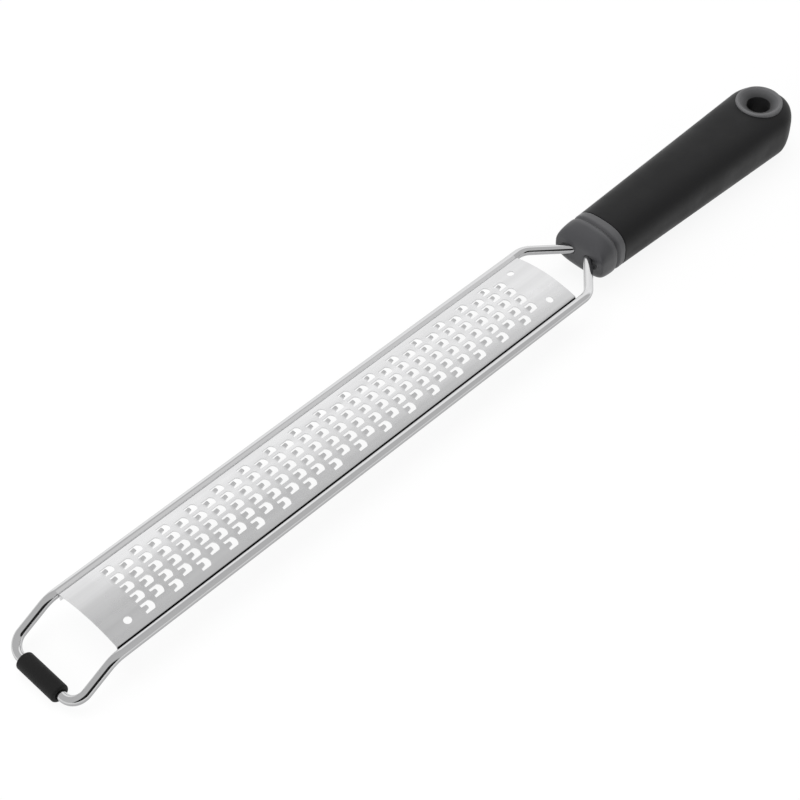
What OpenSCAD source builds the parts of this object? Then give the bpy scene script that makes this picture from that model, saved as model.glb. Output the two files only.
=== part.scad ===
/* [Wire frame] */
// Diameter of the bent steel wire
wire_d = 3.6; // [3:0.1:5]
// Distance between the centre lines of the two rails
rail_span = 33.6; // [28:0.2:42]
// Height of the rails' centre line above the surface that the grater lies on
rail_z = 12.55; // [10:0.05:16]
// Distance from the cross bar back to the point where the legs start to drop
nose_drop_x = 17.5; // [14:0.1:26]
// Bend radius where the rails turn down to the nose
drop_r = 12; // [6:0.5:16]
// Bend radius of the two nose corners
corner_r = 6; // [4:0.25:9]
// Angle at which the rails turn inwards to the handle
heel_angle = 42; // [30:1:55]
// Bend radius of the rails at the heel
heel_r = 8; // [5:0.5:12]
// Distance from the end of the plate to the corner of the heel bend
heel_lead = 5.4; // [3:0.1:10]
// Distance between the centre lines of the two tangs inside the handle
tang_span = 7.2; // [6:0.1:9]
// Length of each straight tang inside the handle
tang_len = 38; // [20:1:60]
// Bend radius where each rail becomes a tang
tang_r = 5; // [4:0.5:8]

/* [Grater plate] */
// Length of the plate along the rails
plate_len = 219.6; // [216:0.1:260]
// Distance from the cross bar to the front end of the plate
plate_x = 20.4; // [18:0.1:30]
// Thickness of the steel sheet
plate_t = 0.5; // [0.3:0.05:0.8]
// Radius to which the sheet is arched across its width
arch_r = 53.6; // [40:0.2:90]
// Height of the crown above the rails' centre line
crown_rise = 3.57; // [2.8:0.01:6]
// Outer bend radius where the long edges fold down
fold_r = 0.8; // [0.7:0.05:2]
// Depth of the folded edges below the bend
flange_h = 2.6; // [1.5:0.1:5]
// Gap that the spot welds close between a folded edge and its rail
weld_gap = 0.05; // [0.02:0.01:0.2]

/* [Teeth] */
// Number of rows of teeth along the plate
row_count = 32; // [8:1:33]
// Distance from row to row
row_pitch = 6; // [5.2:0.05:6.1]
// Distance from the front end of the plate to the roots of the first row
first_row = 14.9; // [8:0.1:16]
// Distance from tooth to tooth across the plate
tooth_pitch = 5.18; // [4.6:0.02:5.6]
// Number of teeth in the wide rows, which alternate with rows of one tooth less
wide_row = 5; // [2:1:5]
// Length of each opening along the plate
opening_len = 4.25; // [3.8:0.05:4.6]
// Width of each opening across the plate
opening_w = 3.9; // [3.4:0.05:4.2]
// Radius of each opening's bulged end
opening_r = 2.6; // [2.4:0.1:4]
// Length of each tooth from its root
tooth_len = 1.75; // [1.2:0.05:2.2]
// Width of each tooth at its root
tooth_root = 1.95; // [1.4:0.05:2.2]
// Width of each tooth at its tip
tooth_tip = 1.35; // [0.8:0.05:1.6]
// Radius of each tooth's rounded tip
tooth_r = 1.2; // [1.2:0.05:2]
// Angle at which the teeth are raised
tooth_angle = 17; // [8:1:30]

/* [Round holes] */
// Diameter of the three locating holes in the plate
pilot_d = 2.9; // [2:0.1:4]
// Distance of the locating holes from the centre line
pilot_y = 9.9; // [8:0.1:12]
// Distance of the locating holes from the ends of the plate
pilot_inset = 8.7; // [6:0.1:12]

/* [Nose foot] */
// Outer diameter of the rubber tube
foot_d = 6.8; // [6:0.1:9]
// Length of the rubber tube
foot_len = 19; // [12:0.5:22]
// Rounding of the tube's ends
foot_edge = 0.8; // [0.3:0.1:1.2]
// Gap between the wire and the tube's bore
foot_gap = 0.05; // [0.02:0.01:0.2]

/* [Handle collar] */
// Distance from the end of the plate to the collar's flat front face
collar_lead = 19; // [16:0.1:22]
// Length of the collar in front of the grip
collar_len = 13; // [11:0.1:20]
// Half width of the collar where it meets the grip
collar_w = 12.2; // [11.8:0.1:16]
// Height of the collar's top above the rails' centre line
collar_top = 9.4; // [8:0.1:12]
// Depth of the collar's underside below the rails' centre line
collar_belly = 10.7; // [8:0.1:12]
// Half width of the front face
face_w = 11.7; // [9.5:0.1:12]
// Height of the front face above the rails' centre line
face_top = 3.2; // [2.5:0.1:5]
// Depth of the front face below the rails' centre line
face_bottom = 4.6; // [2.5:0.1:6]
// Fullness of the front face, which is squarer than the handle's section
face_fullness = 4; // [2.4:0.1:5]
// Fullness of the collar's oval section at the grip, where 2 is an ellipse
fullness = 2.7; // [2:0.1:3.5]
// Depth of the groove round the collar
groove_depth = 0.9; // [0.3:0.1:1.4]
// Width of the groove round the collar
groove_w = 2.8; // [1:0.1:4]
// Distance from the middle of the groove to the grip
groove_back = 4; // [3:0.1:6]
// Diameter of the notches that the wires enter by
notch_d = 5.2; // [4.6:0.1:7]
// Distance of the notches' centre lines from the wires', on the outer side
notch_shift = 0.8; // [0:0.1:1.5]
// Depth of the notches' centre lines below the wires'
notch_drop = 0.8; // [0:0.1:2]
// Gap between the tangs and their sockets
tang_gap = 0.05; // [0.02:0.01:0.2]

/* [Grip] */
// Length of the grip from the collar to the centre of the eye
grip_len = 95.5; // [80:0.2:120]
// Half width of the grip at the eye
grip_w = 14.5; // [14:0.1:19]
// Height of the grip's top at the eye above the rails' centre line
grip_top = 10.2; // [9:0.1:12.5]
// Thickness of the grip's end behind the eye's ring
end_wall = 3.1; // [1.5:0.1:6]
// Fullness of the grip's oval section at the eye, which is squarer than at the collar
grip_fullness = 3.3; // [2:0.1:4]

/* [Handle core] */
// Width of the stiff bar inside the grip
spine_w = 16; // [14:0.5:20]
// Height of the stiff bar inside the grip
spine_h = 9; // [7:0.5:14]
// Gap between the moulded grip and the core
mould_gap = 0.05; // [0.02:0.01:0.2]

/* [Hanging eye] */
// Outer diameter of the eye's ring
ring_d = 18.8; // [16:0.1:24]
// Height of the ring's rim above the rails' centre line
ring_top = 11; // [9:0.1:13]
// Height of the ring's lower rim above the surface that the grater lies on
ring_bottom = 0.4; // [0.2:0.1:2]
// Diameter of the hanging hole
eye_d = 9.8; // [6:0.1:14]
// Depth of the funnel at each end of the hole
funnel_h = 2.3; // [0.8:0.1:4]
// Width of the flat rim round each funnel
rim_w = 1.5; // [0.4:0.1:2.5]

/* [Hidden] */
round_fn = 64;
section_fn = 40;
wire_lap = 0.1;
bend_slim = 0.02;
cut_past = 1;

wire_r = wire_d / 2;
foot_r = foot_d / 2;
rail_y = rail_span / 2;
tang_y = tang_span / 2;

// Heights: the foot's tube and the grip's belly touch z = 0
bar_z = foot_r;
crown_z = rail_z + crown_rise;

// Places along the grater, measured from the cross bar
plate_end_x = plate_x + plate_len;
heel_x = plate_end_x + heel_lead;
face_x = plate_end_x + collar_lead;
grip_x = face_x + collar_len;
eye_x = grip_x + grip_len;
ring_r = ring_d / 2;
grip_end = ring_r + end_wall;
tip_x = eye_x + grip_end;
overall_len = tip_x + foot_r;
overall_h = rail_z + max(ring_top, grip_top);

// Nose legs: the plane that they lie in is tilted down to the cross bar
drop_angle = atan((rail_z - bar_z) / nose_drop_x);
leg_len = norm([nose_drop_x, rail_z - bar_z]);
drop_tangent = drop_r * tan(drop_angle / 2);

// Heel legs: from the rails in to the tangs
heel_tangent = heel_r * tan(heel_angle / 2);
tang_tangent = tang_r * tan(heel_angle / 2);
heel_run = (rail_y - tang_y) / sin(heel_angle);
tang_x = heel_x + (rail_y - tang_y) / tan(heel_angle);

// Arch: the sheet runs from the crown to the folds on both sides
arch_z = crown_z - arch_r;
flange_y = rail_y - wire_r - weld_gap;
fold_angle = asin((flange_y - fold_r) / (arch_r - fold_r));
fold_z = arch_z + (arch_r - fold_r) * cos(fold_angle);
fold_lap = 0.05;
fold_slim = 0.01;

// Teeth: the plate is made in strips of a few rows between two plain ends
strip_rows = 8;
land = row_pitch - opening_len;
front_len = first_row - land / 2;
teeth_len = row_count * row_pitch;
root_lap = 0.1;
cut_depth = 2;
pilot_back_x = max(plate_len - pilot_inset, front_len + teeth_len + pilot_d);

// Handle: the end's top and belly close with these powers of its cosine
eye_r = eye_d / 2;
end_top_power = 0.25;
end_belly_power = 3.4;
dome_step = 10;
groove_steps = 6;
grip_steps = 14;
end_step = 12;
groove_x = grip_x - groove_back;
dome_len = groove_x - groove_w / 2 - face_x;
notch_stop = 1;
notch_len = heel_run - notch_stop;

function mix(a, b, t) = a + (b - a) * t;
function curve(c, size, full) = sign(c) * size * pow(abs(c), 2 / full);

// One oval section across the handle: half width, height of its top, depth of its belly and fullness
function section(x, w, top, belly, full) =
    let (z = rail_z + (top - belly) / 2, h = (top + belly) / 2)
    [for (k = [0:section_fn - 1]) let (a = 360 * k / section_fn)
        [x, curve(cos(a), w, full), z + curve(sin(a), h, full)]];

// The collar's dome, from its flat front face (a = 0) to the groove (a = 90)
function dome_section(a) = section(
    face_x + dome_len * (1 - cos(a)),
    mix(face_w, collar_w, sin(a)),
    mix(face_top, collar_top, sin(a)),
    mix(face_bottom, collar_belly, sin(a)),
    mix(face_fullness, fullness, sin(a)));
function collar_section(x, depth) = section(
    x, collar_w - depth, collar_top - depth, collar_belly - depth, fullness);
function groove_section(t) = collar_section(
    groove_x + groove_w * (t - 0.5), groove_depth * (1 - cos(360 * t)) / 2);

// The grip: u runs from the collar to the eye, and a from the eye round the end
function grip_section(u) = section(
    grip_x + grip_len * u,
    mix(collar_w, grip_w, u),
    mix(collar_top, grip_top, u),
    mix(collar_belly, rail_z, u),
    mix(fullness, grip_fullness, u));
function end_section(a) = section(
    eye_x + grip_end * sin(a),
    grip_w * cos(a),
    grip_top * pow(cos(a), end_top_power),
    rail_z * pow(cos(a), end_belly_power),
    grip_fullness);

function arc(x, y, r, from, to, steps) =
    [for (k = [0:steps]) let (a = from + (to - from) * k / steps) [x + r * cos(a), y + r * sin(a)]];

// Moves the part from the cross bar's frame to the centre of its own box
module place() {
    translate([foot_r - overall_len / 2, 0, 0]) children();
}

// A straight rod along +X from the origin, lapped over what joins it at both ends
module rod(len, r) {
    translate([-wire_lap, 0, 0]) rotate([0, 90, 0]) cylinder(h = len + 2 * wire_lap, r = r, $fn = round_fn);
}

// A bent rod that starts at the origin along +X and turns to the left
module bend(bend_r, angle, r) {
    translate([0, bend_r, 0]) rotate([0, 0, -90])
        rotate_extrude(angle = angle, $fn = round_fn)
            translate([bend_r, 0]) circle(r = r - bend_slim, $fn = round_fn);
}

// The far leg of the nose, from the cross bar up to the rail
module nose_leg(r) {
    translate([0, 0, bar_z]) rotate([0, -drop_angle, 0]) {
        translate([0, rail_y - corner_r, 0]) rotate([0, 0, 90]) mirror([0, 1, 0]) bend(corner_r, 90, r);
        translate([corner_r, rail_y, 0]) rod(leg_len - corner_r - drop_tangent, r);
        translate([leg_len - drop_tangent, rail_y, 0]) rotate([90, 0, 0]) mirror([0, 1, 0])
            bend(drop_r, drop_angle, r);
    }
}

// The far rail's two bends at the heel and its tang
module heel_leg(r) {
    translate([heel_x, rail_y, rail_z]) {
        translate([-heel_tangent, 0, 0]) mirror([0, 1, 0]) bend(heel_r, heel_angle, r);
        rotate([0, 0, -heel_angle]) {
            translate([heel_tangent, 0, 0]) rod(heel_run - heel_tangent - tang_tangent, r);
            translate([heel_run - tang_tangent, 0, 0]) bend(tang_r, heel_angle, r);
        }
    }
    translate([tang_x + tang_tangent, tang_y, rail_z]) rod(tang_len, r);
}

// The far rail between its two bends
module rail(r) {
    translate([nose_drop_x + drop_tangent, rail_y, rail_z])
        rod(heel_x - heel_tangent - nose_drop_x - drop_tangent, r);
}

module wire_frame() {
    color("silver") place() {
        translate([0, corner_r - rail_y, bar_z]) rotate([0, 0, 90]) rod(2 * (rail_y - corner_r), wire_r);
        for (side = [0, 1]) mirror([0, side, 0]) {
            nose_leg(wire_r);
            rail(wire_r);
            heel_leg(wire_r);
        }
    }
}

// Wall of a tube along the plate, between two angles from the vertical on the far side
module tube_wall(len, r, t, from, to) {
    rotate([0, 90, 0]) rotate([0, 0, 180 - to])
        rotate_extrude(angle = to - from, $fn = round_fn)
            translate([r - t, 0]) square([t, len]);
}

// A length of the arched sheet with both long edges folded down against the rails
module sheet(len) {
    arch_angle = fold_angle + fold_lap / arch_r * 180 / PI;
    translate([0, 0, arch_z]) tube_wall(len, arch_r, plate_t, -arch_angle, arch_angle);
    for (side = [0, 1]) mirror([0, side, 0]) {
        translate([0, flange_y - fold_r, fold_z])
            tube_wall(len, fold_r - fold_slim, plate_t - 2 * fold_slim, fold_angle, 90);
        translate([0, flange_y - plate_t, fold_z - flange_h]) cube([len, plate_t, flange_h + fold_lap]);
    }
}

// Puts its children on the sheet's outer face, at a place along and an arc across the plate
module on_arch(x, across) {
    translate([x, 0, arch_z]) rotate([-across / arch_r * 180 / PI, 0, 0]) translate([0, 0, arch_r]) children();
}

// Opening round a tooth, square at the tooth's root and bulged ahead of its tip
module opening() {
    translate([0, 0, -cut_depth]) linear_extrude(2 * cut_depth) intersection() {
        translate([0, -opening_w / 2]) square([opening_len, opening_w]);
        translate([opening_len - opening_r, 0]) circle(r = opening_r, $fn = round_fn);
    }
}

// Tapered tongue of the sheet with a rounded tip, bent up from its root
module tooth() {
    root = tooth_root / 2;
    tip = tooth_tip / 2;
    translate([-root_lap, 0, -plate_t / 2]) rotate([0, -tooth_angle, 0])
        translate([root_lap, 0, -plate_t / 2]) linear_extrude(plate_t) intersection() {
            polygon([[-root_lap, -root], [tooth_len, -tip], [tooth_len, tip], [-root_lap, root]]);
            translate([tooth_len - tooth_r, 0]) circle(r = tooth_r, $fn = round_fn);
        }
}

// Repeats its children at every tooth of a strip that starts with a wide row
module each_tooth(rows) {
    for (row = [0:rows - 1]) {
        teeth = wide_row - row % 2;
        for (k = [0:teeth - 1])
            on_arch(land / 2 + row * row_pitch, (k - (teeth - 1) / 2) * tooth_pitch) children();
    }
}

// A strip of the plate with its rows of teeth
module toothed_strip(rows) {
    difference() {
        sheet(rows * row_pitch);
        each_tooth(rows) opening();
    }
    each_tooth(rows) tooth();
}

// Locating hole through the sheet
module pilot_hole(x, across) {
    on_arch(x, across) translate([0, 0, -cut_depth]) cylinder(h = 2 * cut_depth, d = pilot_d, $fn = round_fn);
}

module grater_plate() {
    color("gainsboro") place() translate([plate_x, 0, 0]) {
        difference() {
            sheet(front_len);
            pilot_hole(pilot_inset, -pilot_y);
        }
        for (row = [0:strip_rows:row_count - 1])
            translate([front_len + row * row_pitch, 0, 0]) toothed_strip(min(strip_rows, row_count - row));
        difference() {
            translate([front_len + teeth_len, 0, 0]) sheet(plate_len - front_len - teeth_len);
            for (side = [-1, 1]) pilot_hole(pilot_back_x, side * pilot_y);
        }
    }
}

// Closed solid through a list of sections with the same number of points
module loft(sections) {
    n = len(sections[0]);
    last = len(sections) - 1;
    polyhedron(
        points = [for (s = sections) each s],
        faces = concat(
            [[for (k = [0:n - 1]) k]],
            [for (j = [0:last - 1], k = [0:n - 1])
                [j * n + k, (j + 1) * n + k, (j + 1) * n + (k + 1) % n, j * n + (k + 1) % n]],
            [[for (k = [n - 1:-1:0]) last * n + k]]),
        convexity = 4);
}

// The collar in front of the grip: a dome, a shallow groove and a band
module collar() {
    loft(concat(
        [for (a = [0:dome_step:90]) dome_section(a)],
        [for (k = [1:groove_steps]) groove_section(k / groove_steps)],
        [collar_section(grip_x, 0)]));
}

// The wide notch by which the far wire enters the collar
module notch() {
    translate([heel_x, rail_y, rail_z]) rotate([0, 0, -heel_angle])
        translate([0, notch_shift, -notch_drop]) rotate([0, 90, 0]) cylinder(h = notch_len, d = notch_d, $fn = round_fn);
}

// The stiff bar and the eye's tube, which the grip is moulded round
module spine(gap) {
    translate([grip_x - collar_len / 2, -spine_w / 2 - gap, rail_z - spine_h / 2 - gap])
        cube([collar_len / 2 + grip_len, spine_w + 2 * gap, spine_h + 2 * gap]);
    translate([eye_x, 0, ring_bottom])
        cylinder(h = rail_z + ring_top - ring_bottom, r = ring_r + gap, $fn = round_fn);
}

// The hanging hole with a funnel at each end
module eye_hole() {
    mouth_r = ring_r - rim_w;
    tube_h = rail_z + ring_top - ring_bottom;
    translate([eye_x, 0, ring_bottom]) {
        translate([0, 0, -cut_past]) cylinder(h = tube_h + 2 * cut_past, r = eye_r, $fn = round_fn);
        translate([0, 0, tube_h - funnel_h]) cylinder(h = funnel_h, r1 = eye_r, r2 = mouth_r, $fn = round_fn);
        cylinder(h = funnel_h, r1 = mouth_r, r2 = eye_r, $fn = round_fn);
    }
}

module handle_core() {
    color([0.3, 0.3, 0.32]) place() difference() {
        union() {
            collar();
            spine(0);
        }
        for (side = [0, 1]) mirror([0, side, 0]) {
            notch();
            heel_leg(wire_r + tang_gap);
        }
        eye_hole();
    }
}

module grip_sleeve() {
    color([0.12, 0.12, 0.13]) place() difference() {
        loft(concat(
            [for (k = [0:grip_steps]) grip_section(k / grip_steps)],
            [for (a = [end_step:end_step:90 - end_step / 2]) end_section(a)]));
        spine(mould_gap);
        translate([eye_x, 0, -cut_past])
            cylinder(h = overall_h + 2 * cut_past, r = ring_r + mould_gap, $fn = round_fn);
    }
}

module nose_foot() {
    color([0.1, 0.1, 0.1]) place() translate([0, 0, bar_z]) rotate([90, 0, 0])
        rotate_extrude($fn = round_fn)
            polygon(concat(
                [[wire_r + foot_gap, -foot_len / 2]],
                arc(foot_r - foot_edge, foot_edge - foot_len / 2, foot_edge, -90, 0, 4),
                arc(foot_r - foot_edge, foot_len / 2 - foot_edge, foot_edge, 0, 90, 4),
                [[wire_r + foot_gap, foot_len / 2]]));
}

wire_frame();
grater_plate();
handle_core();
grip_sleeve();
nose_foot();
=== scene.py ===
import bmesh
import bpy
import math
from mathutils import Matrix, Vector


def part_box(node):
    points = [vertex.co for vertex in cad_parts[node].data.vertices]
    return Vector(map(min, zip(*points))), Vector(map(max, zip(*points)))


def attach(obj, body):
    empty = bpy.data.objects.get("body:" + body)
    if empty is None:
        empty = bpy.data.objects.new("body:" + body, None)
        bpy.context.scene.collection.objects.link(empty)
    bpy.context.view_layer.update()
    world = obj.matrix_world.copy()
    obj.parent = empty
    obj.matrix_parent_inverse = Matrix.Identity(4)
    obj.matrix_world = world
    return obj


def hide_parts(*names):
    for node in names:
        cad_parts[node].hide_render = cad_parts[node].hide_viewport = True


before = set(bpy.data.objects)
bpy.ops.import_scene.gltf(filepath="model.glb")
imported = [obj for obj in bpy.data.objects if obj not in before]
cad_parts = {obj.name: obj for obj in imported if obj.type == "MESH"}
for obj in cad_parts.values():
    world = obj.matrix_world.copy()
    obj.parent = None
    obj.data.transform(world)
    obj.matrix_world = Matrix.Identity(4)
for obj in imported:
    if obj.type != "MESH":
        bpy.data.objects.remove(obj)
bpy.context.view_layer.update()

# Wire frame: one length of polished stainless wire, bent into the two rails, the nose
# legs with their cross bar, and the heel legs whose ends are moulded into the handle.
# It is swept along its corner points, with a bend of its own radius at each corner.
MM = 0.001
WIRE_R = 1.8 * MM
RAIL_Y = 16.8 * MM
RAIL_Z = 12.55 * MM
BAR_Z = 3.4 * MM
TANG_Y = 3.6 * MM
DROP_RUN = 17.5 * MM
CORNER_BEND = 6 * MM
DROP_BEND = 12 * MM
HEEL_BEND = 8 * MM
TANG_BEND = 5 * MM
HEEL_ANGLE = math.radians(42)
HEEL_LEAD = 5.4 * MM
WIRE_SIDES = 40
BEND_STEPS = 24
WIRE_SHARP = 50
WIRE_DARK = (0.58, 0.58, 0.59)
WIRE_LIGHT = (0.67, 0.67, 0.67)
# Painted shade: the wire's lower faces darken to this colour, between the FLANK limits of the
# normal's height.
WIRE_PAINTED_UNDERSHADE = (0.40, 0.40, 0.405)
# Painted reflection: the far rail's inner flank lightens to this colour along the plate.
WIRE_PAINTED_REFLECTION = (0.83, 0.83, 0.835)
FLANK_START = 0.5
FLANK_END = 0.1
# Painted shadow: the seam between the plate and the near rail darkens to this colour.
SEAM_SHADOW_COLOUR = (0.03, 0.028, 0.027)
SEAM_SHADOW_START, SEAM_SHADOW_END = 1.25 * MM, 1.65 * MM
REFLECTION_START, REFLECTION_END = 0.2 * MM, 0.7 * MM
BROAD_LINES = 0.12

wire_low, wire_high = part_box("wire_frame")
plate_low, plate_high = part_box("grater_plate")
BAR_X = wire_low.x + WIRE_R
HEEL_X = plate_high.x + HEEL_LEAD
TANG_X = HEEL_X + (RAIL_Y - TANG_Y) / math.tan(HEEL_ANGLE)


def plain_mesh(name, points, edges, faces):
    mesh = bpy.data.meshes.new(name)
    mesh.from_pydata(points, edges, faces)
    mesh.update()
    return mesh


def new_piece(name, mesh):
    piece = bpy.data.objects.new(name, mesh)
    bpy.context.scene.collection.objects.link(piece)
    return piece


def geometry_tree(name, sockets):
    """A Geometry Nodes tree with one geometry input and output, and the named inputs."""
    tree = bpy.data.node_groups.new(name, "GeometryNodeTree")
    tree.interface.new_socket("Geometry", in_out="INPUT", socket_type="NodeSocketGeometry")
    tree.interface.new_socket("Geometry", in_out="OUTPUT", socket_type="NodeSocketGeometry")
    for label, kind in sockets:
        tree.interface.new_socket(label, in_out="INPUT", socket_type="NodeSocket" + kind)
    return tree, tree.nodes.new("NodeGroupInput"), tree.nodes.new("NodeGroupOutput")


def add(tree, kind, links=(), **settings):
    """Adds a node, sets its properties, and links or sets the inputs that are given."""
    made = tree.nodes.new(kind)
    for key, value in settings.items():
        setattr(made, key, value)
    for key, value in dict(links).items():
        if isinstance(value, bpy.types.NodeSocket):
            tree.links.new(value, made.inputs[key])
        else:
            made.inputs[key].default_value = value
    return made


def baked(piece, tree, values, name):
    """Runs the tree on the piece with these input values and returns a plain mesh piece."""
    modifier = piece.modifiers.new("made", "NODES")
    modifier.node_group = tree
    ids = {s.name: s.identifier for s in tree.interface.items_tree if s.in_out == "INPUT"}
    for label, value in values.items():
        modifier[ids[label]] = value
    bpy.context.view_layer.update()
    graph = bpy.context.evaluated_depsgraph_get()
    mesh = bpy.data.meshes.new_from_object(piece.evaluated_get(graph))
    mesh.name = name
    bpy.data.objects.remove(piece)
    return new_piece(name, mesh)


sweep, given, result = geometry_tree("bent wire", [
    ("Wire radius", "Float"), ("Sides", "Int"), ("Steps in a bend", "Int"), ("Finish", "Material")])
bend = add(sweep, "GeometryNodeInputNamedAttribute", {"Name": "bend"}, data_type="FLOAT")
corners = add(sweep, "GeometryNodeMeshToCurve", {"Mesh": given.outputs["Geometry"]})
path = add(sweep, "GeometryNodeFilletCurve", {
    "Curve": corners.outputs[0], "Count": given.outputs["Steps in a bend"],
    "Radius": bend.outputs[0], "Limit Radius": False}, mode="POLY")
run = add(sweep, "GeometryNodeSplineParameter")
path = add(sweep, "GeometryNodeStoreNamedAttribute", {
    "Geometry": path.outputs[0], "Name": "run", "Value": run.outputs["Length"]},
    data_type="FLOAT", domain="POINT")
ring = add(sweep, "GeometryNodeCurvePrimitiveCircle", {
    "Resolution": given.outputs["Sides"], "Radius": given.outputs["Wire radius"]})
spot = add(sweep, "GeometryNodeInputPosition")
ring = add(sweep, "GeometryNodeStoreNamedAttribute", {
    "Geometry": ring.outputs[0], "Name": "skin", "Value": spot.outputs[0]},
    data_type="FLOAT_VECTOR", domain="POINT")
tube = add(sweep, "GeometryNodeCurveToMesh", {
    "Curve": path.outputs[0], "Profile Curve": ring.outputs[0], "Fill Caps": True})
tube = add(sweep, "GeometryNodeRealizeInstances", {"Geometry": tube.outputs[0]})
tube = add(sweep, "GeometryNodeSetMaterial", {
    "Geometry": tube.outputs[0], "Material": given.outputs["Finish"]})
sweep.links.new(tube.outputs[0], result.inputs[0])


def bent_wire(name, radius, finish):
    """The whole wire from tang to tang, at this radius."""
    half = [(wire_high.x, TANG_Y, RAIL_Z, 0), (TANG_X, TANG_Y, RAIL_Z, TANG_BEND),
            (HEEL_X, RAIL_Y, RAIL_Z, HEEL_BEND),
            (BAR_X + DROP_RUN, RAIL_Y, RAIL_Z, DROP_BEND), (BAR_X, RAIL_Y, BAR_Z, CORNER_BEND)]
    whole = half + [(x, -y, z, r) for x, y, z, r in reversed(half)]
    links = [(k, k + 1) for k in range(len(whole) - 1)]
    mesh = plain_mesh(name, [p[:3] for p in whole], links, [])
    radii = mesh.attributes.new("bend", "FLOAT", "POINT")
    radii.data.foreach_set("value", [p[3] for p in whole])
    made = baked(new_piece(name, mesh), sweep, {
        "Wire radius": radius, "Sides": WIRE_SIDES, "Steps in a bend": BEND_STEPS,
        "Finish": finish}, name)
    made.data.shade_smooth()
    made.data.set_sharp_from_angle(angle=math.radians(WIRE_SHARP))
    return made


def shader_group(name, inputs, outputs):
    """A shader node group with named inputs and outputs."""
    tree = bpy.data.node_groups.new(name, "ShaderNodeTree")
    for label, kind, value in inputs:
        made = tree.interface.new_socket(label, in_out="INPUT", socket_type="NodeSocket" + kind)
        if value is not None:
            made.default_value = value
    for label, kind in outputs:
        tree.interface.new_socket(label, in_out="OUTPUT", socket_type="NodeSocket" + kind)
    return tree, tree.nodes.new("NodeGroupInput"), tree.nodes.new("NodeGroupOutput")


# Shared effect: soft patches where hands and cloths have left a metal or plastic duller.
handling, given, result = shader_group(
    "handling marks",
    [("Place", "Vector", None), ("Size", "Float", 60.0),
     ("Least", "Float", 0.1), ("Most", "Float", 0.2)],
    [("Roughness", "Float"), ("Mask", "Float")])
patches = add(handling, "ShaderNodeTexNoise", {
    "Vector": given.outputs["Place"], "Scale": given.outputs["Size"],
    "Detail": 4.0, "Roughness": 0.6})
spread = add(handling, "ShaderNodeMapRange", {
    "Value": patches.outputs[0], "From Min": 0.35, "From Max": 0.65,
    "To Min": given.outputs["Least"], "To Max": given.outputs["Most"]},
    interpolation_type="SMOOTHSTEP")
handling.links.new(spread.outputs[0], result.inputs["Roughness"])
handling.links.new(patches.outputs[0], result.inputs["Mask"])

# Shared effect: fine lines along one direction, left by a die or an abrasive belt.
lines, given, result = shader_group(
    "fine lines",
    [("Place", "Vector", None), ("Squash", "Vector", (1.0, 1.0, 1.0)),
     ("Fineness", "Float", 2000.0)],
    [("Height", "Float"), ("Broad", "Float")])
drawn = add(lines, "ShaderNodeVectorMath", {
    0: given.outputs["Place"], 1: given.outputs["Squash"]}, operation="MULTIPLY")
hair = add(lines, "ShaderNodeTexNoise", {
    "Vector": drawn.outputs[0], "Scale": given.outputs["Fineness"],
    "Detail": 3.0, "Roughness": 0.7})
wide = add(lines, "ShaderNodeMath", {
    0: given.outputs["Fineness"], 1: BROAD_LINES}, operation="MULTIPLY")
band = add(lines, "ShaderNodeTexNoise", {
    "Vector": drawn.outputs[0], "Scale": wide.outputs[0], "Detail": 2.0, "Roughness": 0.5})
lines.links.new(hair.outputs[0], result.inputs["Height"])
lines.links.new(band.outputs[0], result.inputs["Broad"])

# Shared effect: a mask along the seam between the plate and each rail, over the plate's
# length. It starts at one distance from the middle and is full at another, and each side
# takes its own share of it. It places the painted seam shadow and the painted reflection
# on the far rail's inner flank.
seam, given, result = shader_group(
    "seam shade",
    [("Place", "Vector", None), ("Clear", "Float", 0.014), ("Dark", "Float", 0.0145),
     ("Start", "Float", -1.0), ("End", "Float", 1.0),
     ("Near", "Float", 1.0), ("Far", "Float", 0.0)],
    [("Shade", "Float")])
where = add(seam, "ShaderNodeSeparateXYZ", {0: given.outputs["Place"]})
side = add(seam, "ShaderNodeMath", {0: where.outputs[1]}, operation="ABSOLUTE")
depth = add(seam, "ShaderNodeMapRange", {
    "Value": side.outputs[0],
    "From Min": given.outputs["Clear"], "From Max": given.outputs["Dark"]},
    interpolation_type="SMOOTHSTEP")
after = add(seam, "ShaderNodeMath", {
    0: where.outputs[0], 1: given.outputs["Start"]}, operation="GREATER_THAN")
before = add(seam, "ShaderNodeMath", {
    0: where.outputs[0], 1: given.outputs["End"]}, operation="LESS_THAN")
held = add(seam, "ShaderNodeMath", {
    0: after.outputs[0], 1: before.outputs[0]}, operation="MULTIPLY")
held = add(seam, "ShaderNodeMath", {0: held.outputs[0], 1: depth.outputs[0]}, operation="MULTIPLY")
share = add(seam, "ShaderNodeMapRange", {
    "Value": where.outputs[1], "From Min": -MM, "From Max": MM,
    "To Min": given.outputs["Near"], "To Max": given.outputs["Far"]})
held = add(seam, "ShaderNodeMath", {0: held.outputs[0], 1: share.outputs[0]}, operation="MULTIPLY")
seam.links.new(held.outputs[0], result.inputs["Shade"])


def new_material(name, **constants):
    """A material whose Principled shader has these constant values."""
    made = bpy.data.materials.new(name)
    made.use_nodes = True
    shader = made.node_tree.nodes["Principled BSDF"]
    for key, value in constants.items():
        shader.inputs[key.replace("_", " ")].default_value = value
    return made, made.node_tree, shader


def place_of(tree):
    return add(tree, "ShaderNodeTexCoord").outputs["Object"]


def blended(tree, factor, first, second):
    """A colour that goes from the first to the second with the factor. Each may be a socket."""
    ends = [c if isinstance(c, bpy.types.NodeSocket) else (*c, 1) for c in (first, second)]
    made = add(tree, "ShaderNodeMix", {"Factor": factor, 6: ends[0], 7: ends[1]}, data_type="RGBA")
    return made.outputs[2]


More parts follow.
